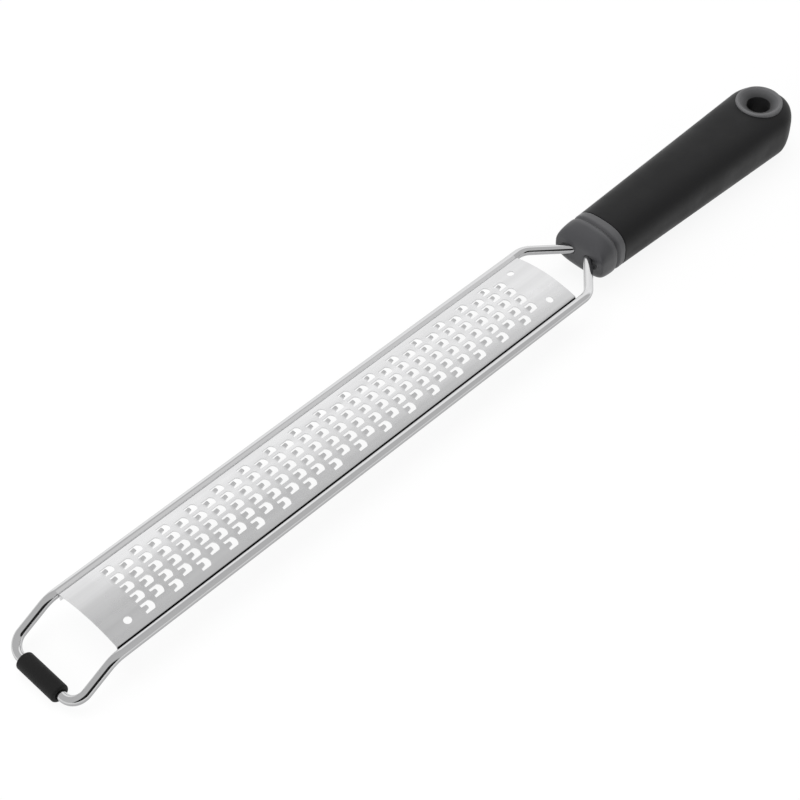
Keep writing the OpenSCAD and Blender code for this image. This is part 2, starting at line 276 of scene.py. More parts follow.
def grey_ramp(tree, share, stops):
    """A grey that follows these (position, value) stops as the share goes from zero to one."""
    made = add(tree, "ShaderNodeValToRGB", {0: share})
    for _ in stops[2:]:
        made.color_ramp.elements.new(0.5)
    for element, (position, value) in zip(made.color_ramp.elements, stops):
        element.position = position
        element.color = (value, value, value, 1)
    return made.outputs[0]


def bumped(tree, shader, height, strength, distance):
    made = add(tree, "ShaderNodeBump", {
        "Height": height, "Strength": strength, "Distance": distance})
    tree.links.new(made.outputs[0], shader.inputs["Normal"])


wire_steel, tree, shader = new_material("polished wire", Metallic=1.0)
run = add(tree, "ShaderNodeAttribute", attribute_name="run")
skin = add(tree, "ShaderNodeAttribute", attribute_name="skin")
around = add(tree, "ShaderNodeSeparateXYZ", {0: skin.outputs["Vector"]})
along = add(tree, "ShaderNodeCombineXYZ", {
    0: around.outputs[0], 1: around.outputs[1], 2: run.outputs["Fac"]})
marks = add(tree, "ShaderNodeGroup", {
    "Place": along.outputs[0], "Size": 90.0, "Least": 0.06, "Most": 0.12}, node_tree=handling)
draw = add(tree, "ShaderNodeGroup", {
    "Place": along.outputs[0], "Squash": (1.0, 1.0, 0.02), "Fineness": 3200.0}, node_tree=lines)
tone = blended(tree, draw.outputs["Broad"], WIRE_DARK, WIRE_LIGHT)
facing = add(tree, "ShaderNodeSeparateXYZ", {
    0: add(tree, "ShaderNodeTexCoord").outputs["Normal"]})
# Painted shade: the wire's colour darkens where its faces turn downwards.
underside_shade = add(tree, "ShaderNodeMapRange", {
    "Value": facing.outputs[2], "From Min": FLANK_START, "From Max": FLANK_END},
    interpolation_type="SMOOTHSTEP")
tone = blended(tree, underside_shade.outputs[0], tone, WIRE_PAINTED_UNDERSHADE)
# Painted reflection of the plate: the far rail's inner flank is lighter over the plate's length.
plate_reflection = add(tree, "ShaderNodeGroup", {
    "Place": place_of(tree), "Clear": RAIL_Y - REFLECTION_START, "Dark": RAIL_Y - REFLECTION_END,
    "Start": plate_low.x, "End": plate_high.x, "Near": 0.0, "Far": 1.0}, node_tree=seam)
tone = blended(tree, plate_reflection.outputs[0], tone, WIRE_PAINTED_REFLECTION)
# Painted shadow: the wire darkens along its seam with the plate, on the near side only.
seam_shadow = add(tree, "ShaderNodeGroup", {
    "Place": place_of(tree), "Clear": RAIL_Y - SEAM_SHADOW_START, "Dark": RAIL_Y - SEAM_SHADOW_END,
    "Start": plate_low.x, "End": plate_high.x}, node_tree=seam)
tree.links.new(blended(tree, seam_shadow.outputs[0], tone, SEAM_SHADOW_COLOUR), shader.inputs["Base Color"])
tree.links.new(marks.outputs["Roughness"], shader.inputs["Roughness"])
bumped(tree, shader, draw.outputs["Height"], strength=0.08, distance=0.03 * MM)

wire = bent_wire("wire", WIRE_R, wire_steel)
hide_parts("wire_frame")
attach(wire, "root")

# Grater plate: stainless sheet, punched with openings that each leave a tongue, which
# the same tool bends up to a tooth. It is then arched across its width, and its long
# edges are folded down against the rails. Here it is punched flat and wrapped likewise.
SHEET_T = 0.5 * MM
ARCH_R = 53.6 * MM
FOLD_R = 0.8 * MM
FLANGE_H = 2.6 * MM
CROWN_Z = 16.12 * MM
RAIL_GAP = 0.05 * MM
FLANGE_Y = RAIL_Y - WIRE_R - RAIL_GAP
FOLD_ANGLE = math.asin((FLANGE_Y - FOLD_R) / (ARCH_R - FOLD_R))
ARCH_Z = CROWN_Z - ARCH_R
FOLD_Z = ARCH_Z + (ARCH_R - FOLD_R) * math.cos(FOLD_ANGLE)
ARCH_RUN = ARCH_R * FOLD_ANGLE
FOLD_RUN = FOLD_R * (math.pi / 2 - FOLD_ANGLE)
HALF_SHEET = ARCH_RUN + FOLD_RUN + FLANGE_H

ROWS = 32
WIDE_ROW = 5
ROW_PITCH = 6 * MM
TOOTH_PITCH = 5.18 * MM
OPENING_LEN = 4.25 * MM
OPENING_HALF = 1.95 * MM
BULGE_R = 2.6 * MM
TOOTH_LEN = 1.75 * MM
TOOTH_ROOT = 0.975 * MM
TOOTH_TIP = 0.675 * MM
TIP_R = 1.2 * MM
TOOTH_RISE = 0.5 * MM
LAND = (ROW_PITCH - OPENING_LEN) / 2
FIRST_ROOT = 14.9 * MM
FRONT_PLAIN = FIRST_ROOT - LAND
HALF_PITCH = TOOTH_PITCH / 2
PILOT_R = 1.45 * MM
PILOT_INSET = 8.7 * MM
PILOT_ACROSS = 9.9 * MM
EDGE_ROUND = 0.04 * MM
TOOTH_CURL = 1.7
TOOTH_STAGES = (0, 0.3, 0.55, 0.8, 1)
ARCH_STEPS = 60
FOLD_STEPS = 12
FOLD_LINES = 6
HOLE_LINES = [k / 2.5 for k in range(-3, 4)]
HOLE_REACH = 1.45
CLOSE = 1e-7
JOIN_GAP = 0.005 * MM
DOUBLES_GAP = 0.001 * MM
PLATE_DARK = (0.62, 0.62, 0.625)
PLATE_LIGHT = (0.78, 0.78, 0.785)
# Painted shadow on the plate's fold, against the near rail:
FOLD_SHADOW_START, FOLD_SHADOW_END = 0.16 * MM, 0.05 * MM
BROKEN_EDGES = 50
PLATE_SHARP = 35

# Lines across one half pitch, the same seen from a tooth of either kind of row.
BESIDE = HALF_PITCH - OPENING_HALF
STEPS = [0, BESIDE / 2, BESIDE, TOOTH_ROOT, HALF_PITCH / 2]
STEPS += [HALF_PITCH - s for s in reversed(STEPS[:-1])]


def tooth_cell():
    """One pitch of flat sheet, with its opening and its raised tongue. x is along, y across."""
    across = [-s for s in reversed(STEPS[1:])] + STEPS
    points, faces, known = [], [], {}

    def point(x, y, z=0.0):
        key = (round(x, 8), round(y, 8), round(z, 8))
        if key not in known:
            known[key] = len(points)
            points.append((x, y, z))
        return known[key]

    def bulge(y):
        return OPENING_LEN - BULGE_R + math.sqrt(BULGE_R ** 2 - y ** 2)

    front, back = -LAND, ROW_PITCH - LAND
    for y0, y1 in zip(across, across[1:]):
        if max(abs(y0), abs(y1)) > OPENING_HALF + CLOSE:
            edge = y0 if abs(y0) < abs(y1) else y1
            inner = [point(0, edge), point(bulge(edge), edge)]
            near, far = (inner, []) if edge == y0 else ([], inner[::-1])
            faces.append([point(front, y0), *near, point(back, y0),
                          point(back, y1), *far, point(front, y1)])
            continue
        faces.append([point(front, y0), point(0, y0), point(0, y1), point(front, y1)])
        faces.append([point(bulge(y0), y0), point(back, y0), point(back, y1), point(bulge(y1), y1)])
    shares = [y / TOOTH_ROOT for y in across if abs(y) < TOOTH_ROOT + CLOSE]

    def tongue(share, along):
        half = TOOTH_ROOT + (TOOTH_TIP - TOOTH_ROOT) * along
        end = TOOTH_LEN - TIP_R + math.sqrt(TIP_R ** 2 - (TOOTH_TIP * share) ** 2)
        return point(end * along, half * share, TOOTH_RISE * along ** TOOTH_CURL)

    for s0, s1 in zip(shares, shares[1:]):
        for t0, t1 in zip(TOOTH_STAGES, TOOTH_STAGES[1:]):
            faces.append([tongue(s0, t0), tongue(s0, t1), tongue(s1, t1), tongue(s1, t0)])
    return plain_mesh("tooth cell", points, [], faces)


def plain_sheet(length):
    """The rest of the flat sheet: both ends with their round holes, and the two long margins."""
    points, faces, known = [], [], {}

    def point(x, y):
        key = (round(x, 7), round(y, 7))
        if key not in known:
            known[key] = len(points)
            points.append((x, y, 0.0))
        return known[key]

    def grid(xs, ys, hole=None):
        """Faces between these lines. A block of them gives way to a ring round a hole."""
        inside_x, inside_y = [], []
        if hole:
            inside_x = [k for k, x in enumerate(xs) if abs(x - hole[0]) < HOLE_REACH * PILOT_R]
            inside_y = [k for k, y in enumerate(ys) if abs(y - hole[1]) < HOLE_REACH * PILOT_R]
        for i in range(len(xs) - 1):
            for j in range(len(ys) - 1):
                if i in inside_x[:-1] and j in inside_y[:-1]:
                    continue
                faces.append([point(xs[i], ys[j]), point(xs[i + 1], ys[j]),
                              point(xs[i + 1], ys[j + 1]), point(xs[i], ys[j + 1])])
        if not hole:
            return
        i0, i1, j0, j1 = inside_x[0], inside_x[-1], inside_y[0], inside_y[-1]
        rim = [(xs[i], ys[j0]) for i in range(i0, i1)] + [(xs[i1], ys[j]) for j in range(j0, j1)]
        rim += [(xs[i], ys[j1]) for i in range(i1, i0, -1)]
        rim += [(xs[i0], ys[j]) for j in range(j1, j0, -1)]
        turns = [math.atan2(y - hole[1], x - hole[0]) for x, y in rim]
        inner = [(hole[0] + PILOT_R * math.cos(a), hole[1] + PILOT_R * math.sin(a)) for a in turns]
        for k in range(len(rim)):
            m = (k + 1) % len(rim)
            faces.append([point(*inner[k]), point(*rim[k]), point(*rim[m]), point(*inner[m])])

    wide_edge = WIDE_ROW * HALF_PITCH
    centre = sorted({round(side * (k * HALF_PITCH + s), 9)
                     for side in (-1, 1) for k in range(WIDE_ROW) for s in STEPS})
    margin = [wide_edge + (ARCH_RUN - wide_edge) * k / 2 for k in range(3)]
    margin += [ARCH_RUN + FOLD_RUN * k / FOLD_LINES for k in range(1, FOLD_LINES + 1)]
    margin += [ARCH_RUN + FOLD_RUN + FLANGE_H * k / 2 for k in (1, 2)]
    across = [-y for y in reversed(margin[1:])] + centre + margin[1:]
    teeth_end = FRONT_PLAIN + ROWS * ROW_PITCH

    def along(start, end, hole):
        fine = [hole + PILOT_R * k for k in HOLE_LINES]
        return sorted([start, end, (start + fine[0]) / 2, (end + fine[-1]) / 2] + fine)

    near = [y for y in across if y <= CLOSE]
    far = [y for y in across if y >= -CLOSE]
    front = along(0, FRONT_PLAIN, PILOT_INSET)
    back = along(teeth_end, length, length - PILOT_INSET)
    grid(front, near, (PILOT_INSET, -PILOT_ACROSS))
    grid(front, far)
    grid(back, near, (length - PILOT_INSET, -PILOT_ACROSS))
    grid(back, far, (length - PILOT_INSET, PILOT_ACROSS))
    for row in range(ROWS):
        band = [FRONT_PLAIN + row * ROW_PITCH, FRONT_PLAIN + (row + 1) * ROW_PITCH]
        inside = wide_edge - (HALF_PITCH if row % 2 else 0)
        beside = [y for y in centre + margin[1:] if y > inside - CLOSE]
        grid(band, beside)
        grid(band, [-y for y in reversed(beside)])
    return plain_mesh("plain sheet", points, [], faces)


def section_curve():
    """The bent sheet's outer section from its near lower edge over the crown to the far one."""
    turns = [FOLD_ANGLE * k / ARCH_STEPS for k in range(ARCH_STEPS + 1)]
    half = [(ARCH_R * math.sin(a), ARCH_Z + ARCH_R * math.cos(a)) for a in turns]
    for k in range(1, FOLD_STEPS + 1):
        a = FOLD_ANGLE + (math.pi / 2 - FOLD_ANGLE) * k / FOLD_STEPS
        half.append((FLANGE_Y - FOLD_R + FOLD_R * math.sin(a), FOLD_Z + FOLD_R * math.cos(a)))
    half.append((FLANGE_Y, FOLD_Z - FLANGE_H))
    spots = [(-y, z) for y, z in reversed(half[1:])] + half
    return plain_mesh("sheet section", [(0, y, z) for y, z in spots],
                      [(k, k + 1) for k in range(len(spots) - 1)], [])


press, given, result = geometry_tree("punched and arched sheet", [
    ("Tooth", "Object"), ("Section", "Object"), ("Rows of each kind", "Int"),
    ("Row pitch", "Float"), ("Tooth pitch", "Float"), ("Wide row", "Int"),
    ("First row", "Float"), ("Front end", "Float"), ("Half width", "Float"),
    ("Finish", "Material")])
tooth = add(press, "GeometryNodeObjectInfo", {"Object": given.outputs["Tooth"]})
parts = [given.outputs["Geometry"]]
for narrow in (0, 1):
    teeth = add(press, "ShaderNodeMath", {
        0: given.outputs["Wide row"], 1: float(narrow)}, operation="SUBTRACT")
    reach = add(press, "ShaderNodeMath", {0: teeth.outputs[0], 1: 1.0}, operation="SUBTRACT")
    reach = add(press, "ShaderNodeMath", {0: reach.outputs[0], 1: -0.5}, operation="MULTIPLY")
    side = add(press, "ShaderNodeMath", {
        0: reach.outputs[0], 1: given.outputs["Tooth pitch"]}, operation="MULTIPLY")
    start = add(press, "ShaderNodeCombineXYZ", {1: side.outputs[0]})
    step = add(press, "ShaderNodeCombineXYZ", {1: given.outputs["Tooth pitch"]})
    spots = add(press, "GeometryNodeMeshLine", {
        "Count": teeth.outputs[0], "Start Location": start.outputs[0], "Offset": step.outputs[0]})
    row = add(press, "GeometryNodeInstanceOnPoints", {
        "Points": spots.outputs[0], "Instance": tooth.outputs["Geometry"]})
    first = add(press, "ShaderNodeMath", {
        0: given.outputs["Row pitch"], 1: float(narrow), 2: given.outputs["First row"]},
        operation="MULTIPLY_ADD")
    start = add(press, "ShaderNodeCombineXYZ", {0: first.outputs[0]})
    twice = add(press, "ShaderNodeMath", {
        0: given.outputs["Row pitch"], 1: 2.0}, operation="MULTIPLY")
    step = add(press, "ShaderNodeCombineXYZ", {0: twice.outputs[0]})
    spots = add(press, "GeometryNodeMeshLine", {
        "Count": given.outputs["Rows of each kind"], "Start Location": start.outputs[0],
        "Offset": step.outputs[0]})
    rows = add(press, "GeometryNodeInstanceOnPoints", {
        "Points": spots.outputs[0], "Instance": row.outputs[0]})
    parts.append(rows.outputs[0])
joined = add(press, "GeometryNodeJoinGeometry")
for part in parts:
    press.links.new(part, joined.inputs[0])
whole = add(press, "GeometryNodeRealizeInstances", {"Geometry": joined.outputs[0]})
whole = add(press, "GeometryNodeMergeByDistance", {
    "Geometry": whole.outputs[0], "Distance": JOIN_GAP})
flat = add(press, "ShaderNodeSeparateXYZ", {0: add(press, "GeometryNodeInputPosition").outputs[0]})
bent = add(press, "GeometryNodeObjectInfo", {"Object": given.outputs["Section"]})
bent = add(press, "GeometryNodeMeshToCurve", {"Mesh": bent.outputs["Geometry"]})
reach = add(press, "ShaderNodeMath", {
    0: flat.outputs[1], 1: given.outputs["Half width"]}, operation="ADD")
sample = add(press, "GeometryNodeSampleCurve", {
    "Curves": bent.outputs[0], "Length": reach.outputs[0]}, mode="LENGTH")
outward = add(press, "ShaderNodeVectorMath", {
    0: (1.0, 0.0, 0.0), 1: sample.outputs["Tangent"]}, operation="CROSS_PRODUCT")
lift = add(press, "ShaderNodeVectorMath", {
    0: outward.outputs[0], "Scale": flat.outputs[2]}, operation="SCALE")
length = add(press, "ShaderNodeMath", {
    0: flat.outputs[0], 1: given.outputs["Front end"]}, operation="ADD")
length = add(press, "ShaderNodeCombineXYZ", {0: length.outputs[0]})
place = add(press, "ShaderNodeVectorMath", {
    0: sample.outputs["Position"], 1: lift.outputs[0]}, operation="ADD")
place = add(press, "ShaderNodeVectorMath", {
    0: place.outputs[0], 1: length.outputs[0]}, operation="ADD")
wrapped = add(press, "GeometryNodeSetPosition", {
    "Geometry": whole.outputs[0], "Position": place.outputs[0]})
wrapped = add(press, "GeometryNodeSetMaterial", {
    "Geometry": wrapped.outputs[0], "Material": given.outputs["Finish"]})
press.links.new(wrapped.outputs[0], result.inputs[0])

plate_steel, tree, shader = new_material("brushed plate", Metallic=1.0)
place = place_of(tree)
brush = add(tree, "ShaderNodeGroup", {
    "Place": place, "Squash": (0.03, 1.0, 1.0), "Fineness": 2600.0}, node_tree=lines)
marks = add(tree, "ShaderNodeGroup", {
    "Place": place, "Size": 45.0, "Least": 0.23, "Most": 0.31}, node_tree=handling)
tone = blended(tree, brush.outputs["Broad"], PLATE_DARK, PLATE_LIGHT)
# Painted shadow: the plate's fold darkens along its seam with the near rail.
seam_shadow = add(tree, "ShaderNodeGroup", {
    "Place": place, "Clear": FLANGE_Y - FOLD_SHADOW_START, "Dark": FLANGE_Y - FOLD_SHADOW_END}, node_tree=seam)
tree.links.new(blended(tree, seam_shadow.outputs[0], tone, SEAM_SHADOW_COLOUR), shader.inputs["Base Color"])
tree.links.new(marks.outputs["Roughness"], shader.inputs["Roughness"])
bumped(tree, shader, brush.outputs["Height"], strength=0.15, distance=0.02 * MM)

tooth_tool = new_piece("tooth tool", tooth_cell())
former = new_piece("former", section_curve())
blank = new_piece("blank", plain_sheet(plate_high.x - plate_low.x))
plate = baked(blank, press, {
    "Tooth": tooth_tool, "Section": former, "Rows of each kind": ROWS // 2, "Row pitch": ROW_PITCH,
    "Tooth pitch": TOOTH_PITCH, "Wide row": WIDE_ROW, "First row": FRONT_PLAIN + LAND,
    "Front end": plate_low.x, "Half width": HALF_SHEET, "Finish": plate_steel}, "plate")
for tool in (tooth_tool, former):
    bpy.data.objects.remove(tool)


def with_modifiers(piece, *modifiers):
    """Applies these modifiers, each a kind and its settings, and keeps the piece plain."""
    for kind, settings in modifiers:
        modifier = piece.modifiers.new(kind.lower(), kind)
        for key, value in settings.items():
            setattr(modifier, key, value)
    bpy.context.view_layer.update()
    graph = bpy.context.evaluated_depsgraph_get()
    mesh = bpy.data.meshes.new_from_object(piece.evaluated_get(graph))
    piece.modifiers.clear()
    old, piece.data = piece.data, mesh
    bpy.data.meshes.remove(old)
    return piece


def outward_faces(mesh):
    """Merges doubles and turns every face of a closed mesh outwards."""
    work = bmesh.new()
    work.from_mesh(mesh)
    bmesh.ops.remove_doubles(work, verts=work.verts, dist=DOUBLES_GAP)
    bmesh.ops.recalc_face_normals(work, faces=work.faces)
    work.to_mesh(mesh)
    work.free()


with_modifiers(
    plate,
    ("SOLIDIFY", {"thickness": SHEET_T, "offset": -1.0, "use_even_offset": True}),
    ("BEVEL", {"width": EDGE_ROUND, "segments": 1, "limit_method": "ANGLE",
               "angle_limit": math.radians(BROKEN_EDGES)}))
outward_faces(plate.data)
plate.data.shade_smooth()
plate.data.set_sharp_from_angle(angle=math.radians(PLATE_SHARP))
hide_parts("grater_plate")
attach(plate, "root")

# Nose foot: a length of black rubber tube, pushed over the wire before the frame was
# bent shut. It keeps the nose from sliding, and its ends are cut with a soft edge.
FOOT_R = 3.4 * MM
FOOT_LEN = 19 * MM
FOOT_EDGE = 0.8 * MM
FOOT_GAP = 0.05 * MM
FOOT_BORE = WIRE_R + FOOT_GAP
FOOT_MOUTH = 0.35 * MM
SWELL_SIZE = 0.25
SWELL_SHARE = 0.4
GRAIN_DEPTH = 0.08 * MM


def turned(name, outline, centre, axis, steps=96):
    """A closed outline of (radius, height) points, turned round the axis through the centre."""
    points, faces = [], []
    count = len(outline)
    spin = Vector((0, 0, 1)).rotation_difference(Vector(axis)).to_matrix()
    for k in range(steps):
        a = 2 * math.pi * k / steps
        points += [Vector(centre) + spin @ Vector((r * math.cos(a), r * math.sin(a), h))
                   for r, h in outline]
        m = (k + 1) % steps
        for j in range(count):
            n = (j + 1) % count
            faces.append([k * count + j, m * count + j, m * count + n, k * count + n])
    mesh = plain_mesh(name, points, [], faces)
    outward_faces(mesh)
    return new_piece(name, mesh)


def quarter(x, y, radius, start, steps=6):
    """Points of a quarter circle round (x, y), from the start angle in degrees."""
    turns = [math.radians(start + 90 * k / steps) for k in range(steps + 1)]
    return [(x + radius * math.cos(a), y + radius * math.sin(a)) for a in turns]


# Shared effect: the fine grain of an eroded mould, with a few broader swells.
grain, given, result = shader_group(
    "moulded grain",
    [("Place", "Vector", None), ("Fineness", "Float", 2500.0)],
    [("Height", "Float")])
fine = add(grain, "ShaderNodeTexNoise", {
    "Vector": given.outputs["Place"], "Scale": given.outputs["Fineness"],
    "Detail": 2.0, "Roughness": 0.6})
swell = add(grain, "ShaderNodeMath", {
    0: given.outputs["Fineness"], 1: SWELL_SIZE}, operation="MULTIPLY")
swell = add(grain, "ShaderNodeTexNoise", {
    "Vector": given.outputs["Place"], "Scale": swell.outputs[0], "Detail": 1.0})
both = add(grain, "ShaderNodeMath", {
    0: swell.outputs[0], 1: SWELL_SHARE, 2: fine.outputs[0]}, operation="MULTIPLY_ADD")
grain.links.new(both.outputs[0], result.inputs["Height"])


def moulded(name, dark, light, roughness, fineness, bump, **constants):
    """A plastic or rubber with mould grain, a slight change of tone and handling marks."""
    made, tree, shader = new_material(name, **constants)
    place = place_of(tree)
    skin = add(tree, "ShaderNodeGroup", {"Place": place, "Fineness": fineness}, node_tree=grain)
    marks = add(tree, "ShaderNodeGroup", {
        "Place": place, "Size": 70.0, "Least": roughness[0], "Most": roughness[1]},
        node_tree=handling)
    tree.links.new(blended(tree, marks.outputs["Mask"], dark, light), shader.inputs["Base Color"])
    tree.links.new(marks.outputs["Roughness"], shader.inputs["Roughness"])
    bumped(tree, shader, skin.outputs["Height"], bump, GRAIN_DEPTH)
    return made


def finished(piece, material, node, sharp=40):
    """Smooth shading and the material; hides the piece's CAD node and attaches the piece to the
    root body.
    """
    piece.data.materials.clear()
    piece.data.materials.append(material)
    piece.data.shade_smooth()
    piece.data.set_sharp_from_angle(angle=math.radians(sharp))
    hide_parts(node)
    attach(piece, "root")


foot_rubber = moulded(
    "foot rubber", dark=(0.004, 0.004, 0.004), light=(0.007, 0.007, 0.007), roughness=(0.6, 0.72),
    fineness=2200.0, bump=0.35, Specular_IOR_Level=0.25, Sheen_Weight=0.08, Sheen_Roughness=0.3)
top = FOOT_LEN / 2
outline = [(FOOT_BORE, -top + FOOT_MOUTH), (FOOT_BORE + FOOT_MOUTH, -top)]
outline += quarter(FOOT_R - FOOT_EDGE, FOOT_EDGE - top, FOOT_EDGE, -90)
outline += quarter(FOOT_R - FOOT_EDGE, top - FOOT_EDGE, FOOT_EDGE, 0)
outline += [(FOOT_BORE + FOOT_MOUTH, top), (FOOT_BORE, top - FOOT_MOUTH)]
foot = turned("foot", outline, (BAR_X, 0, BAR_Z), (0, 1, 0))
finished(foot, foot_rubber, "nose_foot")

# Handle collar: the front of the stiff grey core, moulded round the two tangs. A flat
# front face swells into a dome, with a shallow groove and a band before the grip.
COLLAR_LEAD = 19 * MM
COLLAR_LEN = 13 * MM
FACE_X = plate_high.x + COLLAR_LEAD
GRIP_X = FACE_X + COLLAR_LEN
COLLAR_W = 12.2 * MM
COLLAR_TOP = 9.4 * MM
COLLAR_BELLY = 10.7 * MM
FACE_W = 11.7 * MM
FACE_TOP = 3.2 * MM
FACE_BOTTOM = 4.6 * MM
FACE_FULLNESS = 4
FULLNESS = 2.7
GROOVE_DEPTH = 0.9 * MM
GROOVE_W = 2.8 * MM
GROOVE_BACK = 4 * MM
GROOVE_X = GRIP_X - GROOVE_BACK
DOME_LEN = GROOVE_X - GROOVE_W / 2 - FACE_X
DOME_STEPS = 24
GROOVE_STEPS = 12
NOTCH_R = 2.6 * MM
NOTCH_SHIFT = 0.8 * MM
NOTCH_DROP = 0.8 * MM
NOTCH_STOP = 1 * MM
SOCKET_GAP = 0.05 * MM
HEEL_RUN = (RAIL_Y - TANG_Y) / math.sin(HEEL_ANGLE)
VOXEL = 0.24 * MM
GRIP_LEN = 95.5 * MM
EYE_X = GRIP_X + GRIP_LEN
RING_R = 9.4 * MM
RIM_W = 1.5 * MM
MOUTH_R = RING_R - RIM_W
EYE_R = 4.9 * MM
RIDGE_W = 2 * MM
# Painted highlight on the ridge before the groove, and painted light from the groove back over the
# band and the eye ring:
CORE_LIGHT_STOPS = ((0, 0), (0.35, 0.8), (0.48, 0), (0.71, 0), (1, 1))
CORE_PAINTED_LIGHT = (0.060, 0.060, 0.063)
# Painted shade in the eye's funnel and bore:
CORE_PAINTED_SHADE = (0.016, 0.016, 0.017)
# Painted highlight on the rim of the eye:
RIM_PAINTED_HIGHLIGHT = (0.088, 0.088, 0.091)
RIM_FADE = 0.4 * MM
RIM_EDGE = 0.1 * MM


def mix(a, b, t):
    return a + (b - a) * t


def oval(x, half, top, belly, fullness, count=144):
    """One oval section across the handle, as wide as half each side of its middle."""
    middle, height = RAIL_Z + (top - belly) / 2, (top + belly) / 2
    ring = []
    for k in range(count):
        a = 2 * math.pi * k / count
        c, s = math.cos(a), math.sin(a)
        ring.append((x, math.copysign(half * abs(c) ** (2 / fullness), c),
                     middle + math.copysign(height * abs(s) ** (2 / fullness), s)))
    return ring


def lofted(name, rings):
    """A closed skin through rings with the same number of points."""
    count = len(rings[0])
    points = [p for ring in rings for p in ring]
    last = (len(rings) - 1) * count
    faces = []
    for start in range(0, last, count):
        for k in range(count):
            m = (k + 1) % count
            faces.append([start + k, start + m, start + count + m, start + count + k])
    for first, x in ((0, rings[0][0][0]), (last, rings[-1][0][0])):
        ring = points[first:first + count]
        points.append((x, 0, sum(p[2] for p in ring) / count))
        faces += [[len(points) - 1, first + k, first + (k + 1) % count] for k in range(count)]
    mesh = plain_mesh(name, points, [], faces)
    outward_faces(mesh)
    return new_piece(name, mesh)


def cut_away(piece, *cutters):
    """Subtracts each cutter from the piece and deletes the cutter."""
    for cutter in cutters:
        with_modifiers(piece, ("BOOLEAN", {
            "operation": "DIFFERENCE", "object": cutter, "solver": "EXACT"}))
        bpy.data.objects.remove(cutter)
    return piece


def collar_ring(x, sunk):
    return oval(x, COLLAR_W - sunk, COLLAR_TOP - sunk, COLLAR_BELLY - sunk, FULLNESS)


rings = []
for k in range(DOME_STEPS + 1):
    a = math.radians(90 * k / DOME_STEPS)
    rise = math.sin(a)
    rings.append(oval(FACE_X + DOME_LEN * (1 - math.cos(a)), mix(FACE_W, COLLAR_W, rise),
                      mix(FACE_TOP, COLLAR_TOP, rise), mix(FACE_BOTTOM, COLLAR_BELLY, rise),
                      mix(FACE_FULLNESS, FULLNESS, rise)))
for k in range(1, GROOVE_STEPS + 1):
    rings.append(collar_ring(GROOVE_X + GROOVE_W * (k / GROOVE_STEPS - 0.5),
                             GROOVE_DEPTH * (1 - math.cos(2 * math.pi * k / GROOVE_STEPS)) / 2))
rings.append(collar_ring(GRIP_X, 0))
collar = lofted("collar", rings)
ball_centre = HEEL_RUN - NOTCH_STOP - NOTCH_R
notch_outline = [(0.0, 0.0), (NOTCH_R, 0.0)] + quarter(0, ball_centre, NOTCH_R, 0, 12)
notches = []
for side in (-1, 1):
    heel = Vector((HEEL_X, side * RAIL_Y, RAIL_Z))
    inward = Vector((math.cos(HEEL_ANGLE), -side * math.sin(HEEL_ANGLE), 0))
    outer = Vector((math.sin(HEEL_ANGLE), side * math.cos(HEEL_ANGLE), 0))
    start = heel + outer * NOTCH_SHIFT - Vector((0, 0, NOTCH_DROP))
    notches.append(turned("notch", notch_outline, start, inward))
cut_away(collar, *notches, bent_wire("socket", WIRE_R + SOCKET_GAP, wire_steel))
with_modifiers(
    collar,
    ("REMESH", {"mode": "VOXEL", "voxel_size": VOXEL}),
    ("SMOOTH", {"factor": 0.5, "iterations": 4}))
core_plastic = moulded(
    "core plastic", dark=(0.030, 0.030, 0.033), light=(0.038, 0.038, 0.041), roughness=(0.42, 0.5),
    fineness=2600.0, bump=0.12, Sheen_Weight=0.15, Sheen_Roughness=0.3)
tree = core_plastic.node_tree
shader = tree.nodes["Principled BSDF"]
tone = shader.inputs["Base Color"].links[0].from_socket
# Painted highlight on the ridge before the groove, and painted light from the back of the groove
# over the band and the whole eye ring.
spot = add(tree, "ShaderNodeSeparateXYZ", {0: place_of(tree)})
behind = add(tree, "ShaderNodeMapRange", {
    "Value": spot.outputs[0], "From Min": GROOVE_X - GROOVE_W / 2 - RIDGE_W,
    "From Max": GROOVE_X + GROOVE_W / 2})
tone = blended(tree, grey_ramp(tree, behind.outputs[0], CORE_LIGHT_STOPS), tone, CORE_PAINTED_LIGHT)
level = add(tree, "ShaderNodeCombineXYZ", {0: spot.outputs[0], 1: spot.outputs[1]})
radius = add(tree, "ShaderNodeVectorMath", {
    0: level.outputs[0], 1: (EYE_X, 0.0, 0.0)}, operation="DISTANCE")
# Painted shade: the eye's funnel darkens from its mouth into the bore.
bore_shade = add(tree, "ShaderNodeMapRange", {
    "Value": radius.outputs["Value"], "From Min": MOUTH_R, "From Max": EYE_R},
    interpolation_type="SMOOTHSTEP")
tone = blended(tree, bore_shade.outputs[0], tone, CORE_PAINTED_SHADE)
# Painted highlight: the eye's rim, from its mouth out to its edge, is lighter.
rim = add(tree, "ShaderNodeMapRange", {
    "Value": radius.outputs["Value"],
    "From Min": MOUTH_R - RIM_FADE, "From Max": MOUTH_R + RIM_EDGE},
    interpolation_type="SMOOTHSTEP")
inside = add(tree, "ShaderNodeMath", {
    0: radius.outputs["Value"], 1: RING_R + RIM_EDGE}, operation="LESS_THAN")
rim = add(tree, "ShaderNodeMath", {0: rim.outputs[0], 1: inside.outputs[0]}, operation="MULTIPLY")
tone = blended(tree, rim.outputs[0], tone, RIM_PAINTED_HIGHLIGHT)
tree.links.new(tone, shader.inputs["Base Color"])
finished(collar, core_plastic, "handle_core", sharp=60)

# Eye ring: the far end of the same grey core, which shows round the hanging hole. Its
# rim stands a little above the grip, and a funnel leads into the hole from both faces.
RING_TOP = RAIL_Z + 11 * MM
RING_BOTTOM = 0.4 * MM
FUNNEL_H = 2.3 * MM
FUNNEL_STEPS = (0.05, 0.15, 0.3, 0.45, 0.6, 0.75, 0.88, 0.96, 1)
FUNNEL_CURVE = 0.9
RIM_ROUND = 0.75 * MM

